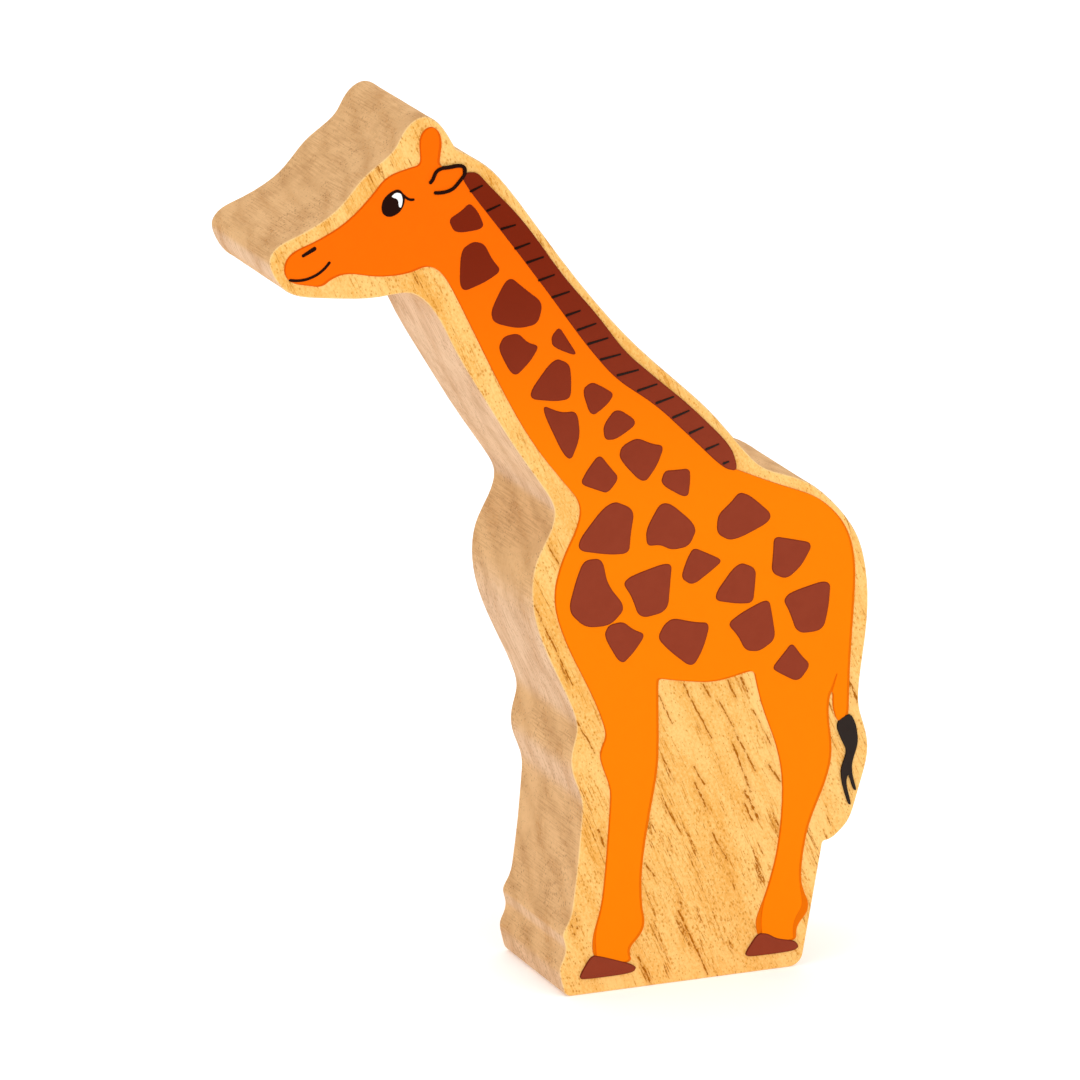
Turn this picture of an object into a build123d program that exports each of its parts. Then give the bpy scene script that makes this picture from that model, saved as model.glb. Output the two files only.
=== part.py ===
"""A standing giraffe figure, sawn from one hardwood board and printed in paint on both of its flat faces.

All sizes are in millimetres. The animal looks towards -X and stands on the flat sole of the block at Z = 0.
The board's thickness runs along Y, so the left flank faces -Y and the right flank faces +Y. The origin is the
middle of the sole. Every outline is drawn once, as (x, z), for the left flank; the right flank is its mirror.

Paint goes on in films, one on top of another, and each film is a solid of its own. Each LEVEL counts them
from the wood.
"""

from build123d import *
from build123d.topology import SkipClean
import os

# Block
BOARD_THICKNESS = 25.0
ARRIS_RADIUS = 0.4
SOLE_FRONT_RADIUS = 1.5
SOLE_REAR_RADIUS = 2.4
NOTCH_RADIUS = 0.5
SOLE_FRONT = -20.4
SOLE_REAR = 19.9
TAIL_NOTCH = (23.5, 20.2)
POLL_NOTCH = (-38.3, 138.1)

# Paint
FILM = 0.1
UNDERCOAT_LEVEL = 1
TOPCOAT_LEVEL = 2
COLOUR_LEVEL = 3
LINE_LEVEL = 4
TOPCOAT_SLIPS = [(-0.45, 0.25), (0.18, -0.15)]

# Pen and brush strokes
EAR_LINE = 0.52
MOUTH_LINE = 0.42
LASH_LINE = 0.38
NOSTRIL_RADII = (0.24, 0.32)
MANE_STROKE_RADII = (0.2, 0.12)
CREASE_RADII = (0.24, 0.12)

# How far each side of a rounded corner is given up to the curve: 0.5 leaves no straight stretch
SOFT = 0.5
FIRM = 0.38

# From the tail notch over the tail, rump, withers and nape to the notch behind the horn
REAR_PROFILE = [
    TAIL_NOTCH, (24.6, 20.3), (26.3, 21.4), (27.8, 23.0), (28.9, 25.7), (30.2, 30.0), (31.1, 34.6),
    (30.6, 37.9), (29.6, 41.3), (29.5, 45.0), (30.2, 50.5), (30.9, 58.5), (30.3, 65.2), (29.0, 69.5),
    (26.7, 73.2), (23.6, 76.6), (19.9, 79.4), (16.0, 81.0), (12.8, 82.4), (10.3, 84.7), (4.4, 91.7),
    (-3.2, 99.0), (-9.8, 105.4), (-16.6, 113.3), (-23.2, 122.1), (-29.9, 131.3), (-32.7, 134.4),
    (-35.6, 136.5), POLL_NOTCH,
]

# From the notch behind the horn over the head, down the throat, chest and foreleg to the front of the sole
FRONT_PROFILE = [
    POLL_NOTCH, (-39.5, 140.2), (-41.4, 142.6), (-43.5, 143.6), (-45.6, 142.8), (-47.0, 141.2),
    (-48.1, 139.3), (-50.3, 137.3), (-53.2, 135.2), (-57.2, 130.9), (-60.6, 128.6), (-64.7, 126.8),
    (-67.6, 125.4), (-68.6, 124.0), (-68.2, 121.5), (-65.8, 118.4), (-60.0, 116.8), (-50.0, 116.1),
    (-45.4, 116.0), (-43.0, 114.2), (-39.0, 107.3), (-34.0, 98.6), (-28.3, 89.3), (-23.5, 82.2),
    (-22.2, 79.4), (-22.9, 75.8), (-25.1, 71.4), (-25.9, 66.6), (-25.2, 61.4), (-22.0, 53.2),
    (-19.2, 47.0), (-18.4, 43.5), (-19.2, 40.0), (-19.1, 36.4), (-17.6, 32.0), (-17.6, 28.6),
    (-18.4, 20.0), (-19.0, 15.4), (-19.8, 12.2), (-20.7, 10.3), (-20.3, 8.2), (-20.6, 6.4),
    (-21.2, 5.0), (-21.1, 3.2), (SOLE_FRONT, 0.0),
]

# The whole painted animal as its first coat lays it down, clockwise from the front of the horn
BODY_COAT = [
    (-44.1, 136.9), (-44.4, 139.6), (-43.9, 141.3), (-42.5, 142.1), (-41.1, 141.2), (-40.6, 139.4),
    (-40.9, 137.4), (-41.1, 135.8), (-40.3, 135.4), (-38.4, 135.8), (-37.0, 135.2), (-36.9, 133.8),
    (-34.6, 130.4), (-28.2, 122.0), (-22.0, 113.8), (-17.8, 107.8), (-13.8, 103.0), (-8.2, 97.6),
    (-2.2, 92.4), (3.4, 86.4), (6.4, 83.4), (10.1, 81.7), (15.5, 79.3), (21.5, 77.0), (25.2, 73.9),
    (27.6, 70.2), (28.7, 65.0), (28.4, 58.0), (27.8, 49.5), (27.7, 43.0), (27.6, 39.8), (25.7, 39.4),
    (24.8, 42.2), (24.9, 44.8), (24.4, 44.2), (24.1, 41.0), (25.0, 35.1), (24.1, 30.5), (21.1, 24.0),
    (20.0, 19.0), (19.6, 14.4), (20.3, 12.0), (21.0, 10.6), (20.9, 8.9), (19.6, 7.5), (18.9, 6.2),
    (19.0, 4.0), (12.5, 5.2), (11.9, 8.2), (12.4, 9.8), (13.9, 13.4), (15.8, 20.2), (16.6, 30.0),
    (15.6, 36.5), (12.8, 43.5), (11.6, 48.6), (11.4, 49.5), (10.6, 49.6), (8.0, 49.0), (4.5, 48.5),
    (0.0, 49.2), (-3.4, 49.9), (-4.6, 50.2), (-4.8, 49.2), (-4.6, 40.0), (-4.8, 35.0), (-6.1, 28.6),
    (-7.5, 20.0), (-7.5, 13.6), (-6.8, 10.8), (-7.5, 8.7), (-9.8, 6.6), (-8.8, 4.0), (-15.4, 5.2),
    (-16.0, 8.8), (-14.3, 13.8), (-13.6, 20.0), (-13.1, 27.0), (-12.7, 32.6), (-13.2, 34.6),
    (-14.6, 38.2), (-14.5, 39.8), (-13.6, 41.6), (-13.7, 43.2), (-15.6, 48.4), (-20.5, 57.9),
    (-22.6, 65.0), (-21.1, 71.1), (-18.2, 76.4), (-17.8, 80.1), (-20.5, 83.4), (-25.8, 90.2),
    (-30.9, 99.3), (-38.6, 115.5), (-40.8, 119.2), (-43.1, 120.4), (-46.0, 119.3), (-51.0, 119.2),
    (-56.0, 120.5), (-58.7, 119.8), (-60.2, 118.6), (-62.5, 119.1), (-65.5, 119.8), (-66.6, 122.0),
    (-65.5, 124.5), (-61.0, 125.9), (-56.0, 128.4), (-51.8, 132.4), (-49.8, 134.9), (-45.8, 135.9),
    (-44.5, 136.1),
]

# Where the topcoat stops well short of the coat below it: the fore fetlock, the hind fetlock and the heel
BARE_EDGES = [
    [(-14.6, 13.0), (-15.3, 9.6), (-15.2, 7.4), (-15.0, 5.6), (-16.6, 5.8), (-16.6, 9.4)],
    [(13.8, 13.2), (13.0, 9.8), (12.9, 7.6), (13.2, 5.6), (11.6, 5.6), (11.4, 8.6), (12.2, 10.4)],
    [
        (19.2, 14.4), (19.8, 11.4), (19.8, 9.8), (18.6, 8.2), (18.2, 6.2), (18.5, 3.6), (19.6, 3.6),
        (19.8, 7.0), (21.6, 8.8), (21.6, 11.0),
    ],
]

MANE = [
    (-37.6, 133.2), (-36.6, 134.3), (-34.9, 134.1), (-33.4, 132.3), (-27.5, 126.0), (-20.6, 116.1),
    (-15.3, 109.9), (-10.6, 103.4), (-5.3, 98.6), (0.2, 93.8), (7.3, 86.5), (8.5, 82.3), (6.0, 83.0),
    (0.1, 89.0), (-5.4, 94.4), (-12.2, 99.3), (-17.2, 105.4), (-22.9, 113.5), (-28.8, 121.6),
]

# Each stroke across the mane, from its root at the neck to its tip
MANE_STROKES = [
    ((-36.0, 131.3), (-34.2, 132.0)), ((-33.3, 128.0), (-31.3, 128.7)), ((-31.0, 124.9), (-28.8, 125.3)),
    ((-28.7, 121.6), (-26.4, 122.2)), ((-26.8, 119.2), (-24.2, 119.8)), ((-24.8, 116.2), (-22.4, 116.8)),
    ((-22.6, 113.3), (-19.9, 113.9)), ((-20.3, 110.2), (-18.1, 110.7)), ((-18.4, 107.7), (-15.5, 108.4)),
    ((-16.7, 105.3), (-13.5, 105.9)), ((-14.6, 102.6), (-11.4, 103.1)), ((-11.8, 99.8), (-8.4, 100.3)),
    ((-8.4, 97.0), (-5.3, 97.7)), ((-5.3, 94.7), (-2.5, 95.4)), ((-2.5, 92.1), (0.1, 92.9)),
    ((0.3, 89.3), (2.5, 90.0)), ((3.1, 86.4), (5.1, 87.0)), ((6.0, 83.8), (6.8, 84.0)),
]

NECK_PATCHES = [
    [(-36.2, 129.5), (-34.8, 127.9), (-33.7, 125.2), (-38.6, 124.9), (-39.7, 127.2), (-37.6, 128.3)],
    [
        (-37.7, 122.2), (-35.6, 123.4), (-33.8, 122.8), (-32.6, 120.3), (-31.0, 118.3),
        (-33.9, 116.7), (-37.9, 115.5),
    ],
    [
        (-29.9, 117.5), (-27.0, 114.9), (-24.2, 112.6), (-25.0, 109.3), (-28.2, 108.9),
        (-32.3, 110.2), (-32.8, 112.2),
    ],
    [
        (-30.7, 107.9), (-28.3, 108.2), (-26.7, 106.5), (-24.8, 105.8), (-26.3, 103.5),
        (-29.0, 101.1), (-31.6, 106.0),
    ],
    [(-21.5, 108.5), (-20.3, 106.6), (-18.3, 103.4), (-22.6, 105.4), (-22.8, 107.1)],
    [(-22.4, 103.7), (-19.8, 102.5), (-19.5, 100.0), (-19.6, 96.9), (-22.0, 96.7), (-27.1, 97.7)],
    [(-24.8, 96.6), (-21.2, 94.8), (-18.5, 94.8), (-18.0, 90.6), (-19.9, 86.2)],
    [(-16.1, 99.2), (-14.1, 98.1), (-12.4, 96.9), (-13.4, 95.4), (-16.2, 93.5), (-17.7, 98.1)],
    [(-12.0, 94.7), (-8.2, 91.9), (-12.0, 89.6), (-13.9, 89.7), (-14.2, 92.0)],
    [
        (-14.8, 87.6), (-13.0, 85.2), (-11.5, 83.4), (-13.4, 81.1), (-15.3, 81.9), (-18.0, 83.1),
        (-16.9, 85.1),
    ],
    [(-11.2, 88.3), (-8.6, 89.5), (-6.0, 88.2), (-4.0, 87.7), (-5.1, 84.8), (-7.4, 81.8), (-11.5, 86.4)],
    [(-3.9, 83.7), (-2.0, 83.6), (0.3, 83.6), (0.4, 81.6), (0.0, 78.7), (-4.6, 81.6)],
]

BODY_PATCHES = [
    [(-13.1, 80.1), (-8.9, 78.1), (-9.6, 74.0), (-9.8, 71.1), (-13.0, 71.2), (-19.4, 72.7)],
    [(-4.1, 79.4), (1.7, 74.2), (0.3, 71.1), (-2.6, 70.8), (-4.6, 71.9), (-6.8, 71.9), (-7.0, 74.6)],
    [(8.7, 78.9), (10.6, 78.1), (15.0, 74.0), (7.6, 71.0), (4.9, 72.6), (5.1, 75.6), (7.2, 77.3)],
    [
        (-17.4, 70.8), (-14.3, 70.8), (-13.4, 66.4), (-10.3, 62.4), (-12.9, 59.8), (-17.1, 59.9),
        (-20.0, 62.9), (-18.7, 67.6),
    ],
    [(-2.6, 69.1), (-2.9, 65.6), (-3.3, 61.0), (-8.0, 60.3), (-9.4, 64.2), (-10.8, 66.3), (-9.5, 67.4)],
    [(1.0, 70.8), (3.2, 69.7), (6.0, 68.2), (4.0, 66.7), (0.9, 64.7), (-1.1, 66.1), (-0.1, 69.0)],
    [(8.5, 67.7), (11.6, 66.3), (11.4, 63.4), (11.1, 60.7), (8.4, 60.9), (4.0, 62.0)],
    [(14.6, 71.1), (17.6, 70.3), (21.3, 69.3), (19.3, 65.8), (16.8, 63.9), (14.2, 65.2), (14.5, 68.4)],
    [(24.3, 63.2), (24.0, 58.8), (23.1, 54.9), (18.7, 54.8), (17.3, 58.7), (16.3, 60.5), (17.4, 61.7)],
    [
        (13.8, 61.2), (14.4, 58.2), (15.0, 54.4), (12.3, 52.7), (9.9, 53.1), (8.6, 55.7),
        (6.8, 57.8), (9.3, 59.4),
    ],
    [(-13.2, 59.9), (-10.8, 60.2), (-9.1, 58.7), (-7.0, 57.7), (-8.9, 55.1), (-11.1, 53.1), (-14.0, 58.2)],
    [
        (-2.4, 59.8), (1.2, 58.7), (3.9, 58.3), (2.7, 54.2), (0.9, 51.3), (-2.7, 54.3),
        (-5.0, 56.8), (-3.9, 58.9),
    ],
    [(17.8, 53.5), (19.3, 51.3), (21.0, 49.5), (18.9, 46.9), (15.8, 48.7), (14.4, 49.7), (16.3, 51.8)],
]

FORE_HOOF = [(-16.0, 6.4), (-14.2, 6.0), (-8.3, 3.8), (-8.9, 2.6), (-17.6, 2.6), (-18.0, 3.2)]
HIND_HOOF = [
    (12.3, 6.4), (13.9, 6.2), (15.6, 5.1), (18.7, 4.4), (19.4, 3.3), (18.3, 2.7), (10.7, 2.7), (10.1, 3.3),
]

EAR_PATH = [
    (-42.6, 133.3), (-42.1, 134.0), (-41.7, 134.8), (-41.0, 135.25), (-39.6, 135.35), (-38.0, 135.45),
    (-37.1, 135.1), (-37.0, 134.3), (-37.8, 133.1), (-39.0, 131.95), (-40.1, 131.6), (-41.8, 131.6),
]
MOUTH_PATH = [(-65.4, 120.3), (-63.6, 120.1), (-61.4, 120.6), (-59.1, 122.4)]
NOSTRIL_ENDS = ((-63.3, 123.9), (-61.5, 124.8))

EYEBALL = [
    (-50.5, 131.2), (-49.2, 132.4), (-47.6, 132.9), (-46.6, 131.2), (-47.4, 129.2), (-49.2, 128.4),
    (-50.6, 129.2),
]
EYE_GLINT = [
    (-49.1, 131.7), (-48.3, 132.3), (-47.4, 132.1), (-47.1, 131.0), (-47.4, 129.8), (-47.8, 130.0),
    (-47.9, 131.2),
]
LASH_PATH = [(-47.6, 132.2), (-46.9, 131.6), (-46.2, 131.05), (-45.4, 130.9)]

TAIL_CREASE = ((24.5, 44.6), (25.5, 47.4))
TAIL_TUFT = [
    (25.8, 39.8), (27.9, 40.8), (28.9, 38.8), (29.3, 35.8), (28.2, 32.6), (28.3, 30.6), (29.1, 27.9),
    (28.5, 28.1), (27.6, 31.0), (27.2, 29.4), (28.2, 25.6), (27.6, 25.9), (26.5, 29.6), (26.3, 31.8),
    (27.4, 34.6), (26.4, 36.6), (25.6, 38.6),
]


def on_flank(level):
    """The drawing plane of the left flank, this many films above the wood."""
    return Plane.XZ.offset(BOARD_THICKNESS / 2 + level * FILM)


def soft_face(corners, softness):
    """A closed outline whose corners are parabolas, each starting this share of a side from its corner."""
    points = [Vector(x, z) for x, z in corners]
    edges = []
    for i, corner in enumerate(points):
        before, after = points[i - 1], points[(i + 1) % len(points)]
        start = corner + (before - corner) * softness
        end = corner + (after - corner) * softness
        edges.append(Bezier(start, corner, end))
        if softness < SOFT:
            edges.append(Line(end, after + (corner - after) * softness))
    return make_face(edges)


def stroke_face(path, width):
    """A pen line of one width along a curve, with round ends."""
    line = Spline(*[(x, z) for x, z in path])
    ends = [Pos(*point) * Circle(width / 2) for point in (path[0], path[-1])]
    return trace(line, line_width=width) + ends


def dash_face(root, tip, radii):
    """A short straight brush mark between two round ends of different radius."""
    ends = [Pos(*root) * Circle(radii[0]), Pos(*tip) * Circle(radii[1])]
    return make_hull(ends[0].edges() + ends[1].edges())


def topcoat_face(coat):
    """What the topcoat covers: the coat less the tail's crease, its slips' rims and the bare edges."""
    with SkipClean():
        inner = coat - dash_face(*TAIL_CREASE, CREASE_RADII)
        for slip in TOPCOAT_SLIPS:
            inner = inner & Pos(*slip) * coat
        for edge in BARE_EDGES:
            inner = inner - soft_face(edge, SOFT)
    return inner.faces().sort_by(SortBy.AREA)[-1]


def film_on_top(faces, level):
    """One film whose faces all lie on the film below it."""
    plane = on_flank(level - 1)
    return [extrude(plane * face, FILM) for face in faces]


def film_over_edges(face, level, below):
    """A film that runs down over the edges of the films below it, onto the wood."""
    solid = extrude(on_flank(0) * face, level * FILM)
    for film in below:
        solid -= film
    return solid


def block():
    """The sawn and sanded board."""
    sole = Line((SOLE_FRONT, 0), (SOLE_REAR, 0))
    heel = Line((SOLE_REAR, 0), TAIL_NOTCH)
    outline = make_face([sole, heel, Spline(*REAR_PROFILE), Spline(*FRONT_PROFILE)])
    plank = extrude(Plane.XZ * outline, BOARD_THICKNESS / 2, both=True)
    across = plank.edges().filter_by(Axis.Y)
    sole_corners = across.group_by(Axis.Z)[0]
    notches = [edge for edge in across if edge not in sole_corners]
    plank = fillet(notches, NOTCH_RADIUS)
    for end, radius in ((0, SOLE_FRONT_RADIUS), (-1, SOLE_REAR_RADIUS)):
        corner = plank.edges().filter_by(Axis.Y).group_by(Axis.Z)[0].sort_by(Axis.X)[end]
        plank = fillet(corner, radius)
    flanks = plank.faces().filter_by(Axis.Y).sort_by(Axis.Y)
    return fillet(flanks[0].edges() + flanks[-1].edges(), ARRIS_RADIUS)


def left_print():
    """Every paint film on the left flank, by name."""
    coat = soft_face(BODY_COAT, SOFT)
    undercoat = extrude(on_flank(0) * coat, FILM)
    topcoat = extrude(on_flank(UNDERCOAT_LEVEL) * topcoat_face(coat), FILM)
    orange = [undercoat, topcoat]

    mane = film_over_edges(soft_face(MANE, FIRM), COLOUR_LEVEL, orange)
    strokes = [dash_face(root, tip, MANE_STROKE_RADII) for root, tip in MANE_STROKES]
    glint = soft_face(EYE_GLINT, FIRM)
    eye = soft_face(EYEBALL, SOFT) + stroke_face(LASH_PATH, LASH_LINE) - glint
    return {
        "orange_undercoat": undercoat,
        "orange_topcoat": topcoat,
        "mane": mane,
        "mane_strokes": [film_over_edges(face, LINE_LEVEL, [*orange, mane]) for face in strokes],
        "neck_patches": film_on_top([soft_face(patch, FIRM) for patch in NECK_PATCHES], COLOUR_LEVEL),
        "body_patches": film_on_top([soft_face(patch, FIRM) for patch in BODY_PATCHES], COLOUR_LEVEL),
        "fore_hoof": film_over_edges(soft_face(FORE_HOOF, FIRM), COLOUR_LEVEL, orange),
        "hind_hoof": film_over_edges(soft_face(HIND_HOOF, FIRM), COLOUR_LEVEL, orange),
        "ear_outline": film_over_edges(stroke_face(EAR_PATH, EAR_LINE), LINE_LEVEL, [*orange, mane]),
        "eye_glint": film_on_top([glint], COLOUR_LEVEL),
        "eye": film_on_top([eye], COLOUR_LEVEL),
        "nostril": film_on_top([dash_face(*NOSTRIL_ENDS, NOSTRIL_RADII)], COLOUR_LEVEL),
        "mouth": film_over_edges(stroke_face(MOUTH_PATH, MOUTH_LINE), COLOUR_LEVEL, orange),
        "tail_tuft": film_over_edges(soft_face(TAIL_TUFT, FIRM), COLOUR_LEVEL, orange),
    }


def solids_of(shape):
    """The solids of one shape or of several."""
    shapes = shape if isinstance(shape, list) else [shape]
    return [solid for item in shapes for solid in item.solids()]


def write(name, solids):
    """One STEP file for one named piece."""
    export_step(Compound(label=name, children=solids), f"parts/{name}.step")


def main():
    os.makedirs("parts", exist_ok=True)
    write("wood_block", solids_of(block()))
    for name, films in left_print().items():
        left = solids_of(films)
        write(f"left_{name}", left)
        write(f"right_{name}", [solid.mirror(Plane.XZ) for solid in left])


main()
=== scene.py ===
"""Dresses a wooden giraffe figure: one sawn board of pale hardwood, with paint films on both of its flat faces.

Lengths are in metres, unless a name ends in _mm. The frame is the CAD model's: the animal looks towards -X, its left
flank faces -Y, and its sole rests on the floor at Z = 0.
"""

import logging
import math
from collections.abc import Callable
from dataclasses import dataclass, field
from enum import Enum
from typing import ClassVar

import bmesh
import bpy
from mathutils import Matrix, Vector


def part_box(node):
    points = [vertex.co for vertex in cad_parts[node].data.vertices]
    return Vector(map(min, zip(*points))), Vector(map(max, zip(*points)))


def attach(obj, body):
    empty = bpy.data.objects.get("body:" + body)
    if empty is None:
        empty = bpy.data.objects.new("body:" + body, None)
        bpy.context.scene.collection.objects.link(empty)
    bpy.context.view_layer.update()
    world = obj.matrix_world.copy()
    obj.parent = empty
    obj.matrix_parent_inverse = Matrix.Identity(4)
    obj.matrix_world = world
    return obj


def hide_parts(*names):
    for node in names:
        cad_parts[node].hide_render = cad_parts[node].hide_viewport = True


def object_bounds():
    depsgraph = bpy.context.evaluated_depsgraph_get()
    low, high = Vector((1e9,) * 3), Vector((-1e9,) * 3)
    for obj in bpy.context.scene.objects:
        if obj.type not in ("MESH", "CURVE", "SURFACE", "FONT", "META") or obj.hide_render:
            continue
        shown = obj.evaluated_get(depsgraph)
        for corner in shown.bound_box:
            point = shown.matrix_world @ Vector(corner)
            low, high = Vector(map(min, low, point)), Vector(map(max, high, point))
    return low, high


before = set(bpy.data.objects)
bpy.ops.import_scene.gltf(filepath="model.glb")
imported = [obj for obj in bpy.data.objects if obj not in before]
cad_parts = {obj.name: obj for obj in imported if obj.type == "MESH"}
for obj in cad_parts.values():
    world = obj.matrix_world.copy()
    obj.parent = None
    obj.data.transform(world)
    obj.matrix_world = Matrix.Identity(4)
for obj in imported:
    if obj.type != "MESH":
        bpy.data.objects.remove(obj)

LOG = logging.getLogger("giraffe")
MM = 0.001
CAD_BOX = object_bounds()
RIM = "rim"
EVEN = (1.0, 1.0, 1.0)

Colour = tuple[float, float, float, float]
Socket = bpy.types.NodeSocket
Value = float | Socket
Rise = tuple[float, float]


class Slot(Enum):
    """The material slots, one for each finish on the figure."""

    WOOD = "wood"
    UNDERCOAT = "dark_orange_paint"
    TOPCOAT = "orange_paint"
    BROWN = "brown_paint"
    BLACK = "black_paint"
    WHITE = "white_paint"


class Flank(Enum):
    """The two printed faces, and which way each of them looks along Y."""

    LEFT = -1
    RIGHT = 1


def srgb(red: int, green: int, blue: int) -> Colour:
    """Turn an 8-bit display colour into the linear colour that a shader takes.

    Args:
        red: Red, 0 to 255.
        green: Green, 0 to 255.
        blue: Blue, 0 to 255.

    Returns:
        The linear colour, with full alpha.
    """

    def linear(level: int) -> float:
        """One channel, by the sRGB curve."""
        share = level / 255
        return share / 12.92 if share <= 0.04045 else ((share + 0.055) / 1.055) ** 2.4

    return (linear(red), linear(green), linear(blue), 1.0)


# ---------------------------------------------------------------- modelling


def work_on(piece: bpy.types.Object, mode: str = "EDIT") -> None:
    """Select one object alone and enter a mode on it.

    Args:
        piece: The object to work on.
        mode: EDIT or OBJECT.
    """
    if bpy.context.object is not None and bpy.context.object.mode != "OBJECT":
        bpy.ops.object.mode_set(mode="OBJECT")
    bpy.ops.object.select_all(action="DESELECT")
    piece.select_set(True)
    bpy.context.view_layer.objects.active = piece
    if mode != "OBJECT":
        bpy.ops.object.mode_set(mode=mode)


def copy_of_node(node: str, name: str) -> bpy.types.Object:
    """Copy a CAD node's mesh into a new object, with its loose triangles merged.

    Args:
        node: The CAD node's name.
        name: The new object's name.

    Returns:
        The new object, selected and in edit mode.
    """
    piece = bpy.data.objects.new(name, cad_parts[node].data.copy())
    piece.data.name = name
    piece.data.materials.clear()
    bpy.context.scene.collection.objects.link(piece)
    work_on(piece, "OBJECT")
    bpy.ops.mesh.customdata_custom_splitnormals_clear()
    work_on(piece)
    bpy.ops.mesh.reveal()
    bpy.ops.mesh.select_all(action="SELECT")
    bpy.ops.mesh.remove_doubles(threshold=0.001 * MM)
    bpy.ops.mesh.select_all(action="DESELECT")
    return piece


def select_edges(piece: bpy.types.Object, wanted: Callable[[bmesh.types.BMEdge], bool]) -> int:
    """Select the edges that pass a test, and nothing else.

    Args:
        piece: The object, in edit mode.
        wanted: Says whether an edge is selected.

    Returns:
        How many edges are selected.
    """
    bpy.ops.mesh.select_mode(type="EDGE")
    bpy.ops.mesh.select_all(action="DESELECT")
    shape = bmesh.from_edit_mesh(piece.data)
    found = [edge for edge in shape.edges if wanted(edge)]
    for edge in found:
        edge.select_set(True)
    bmesh.update_edit_mesh(piece.data)
    return len(found)


def select_faces(piece: bpy.types.Object, wanted: Callable[[bmesh.types.BMFace], bool]) -> int:
    """Select the faces that pass a test, and nothing else.

    Args:
        piece: The object, in edit mode.
        wanted: Says whether a face is selected.

    Returns:
        How many faces are selected.
    """
    bpy.ops.mesh.select_mode(type="FACE")
    bpy.ops.mesh.select_all(action="DESELECT")
    shape = bmesh.from_edit_mesh(piece.data)
    found = [face for face in shape.faces if wanted(face)]
    for face in found:
        face.select_set(True)
    bmesh.update_edit_mesh(piece.data)
    return len(found)


def apply_modifiers(piece: bpy.types.Object) -> None:
    """Apply every modifier on an object, in order."""
    work_on(piece, "OBJECT")
    for modifier in list(piece.modifiers):
        bpy.ops.object.modifier_apply(modifier=modifier.name)


def smooth(piece: bpy.types.Object, angle_degrees: float) -> None:
    """Shade an object smooth, with its large faces kept truly flat.

    Args:
        piece: The object.
        angle_degrees: Edges that turn more than this stay sharp.
    """
    work_on(piece, "OBJECT")
    bpy.ops.object.shade_smooth_by_angle(angle=math.radians(angle_degrees))
    weighted = piece.modifiers.new("large_faces_rule", "WEIGHTED_NORMAL")
    weighted.keep_sharp = True
    weighted.weight = 100
    apply_modifiers(piece)


# ---------------------------------------------------------------- materials


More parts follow.
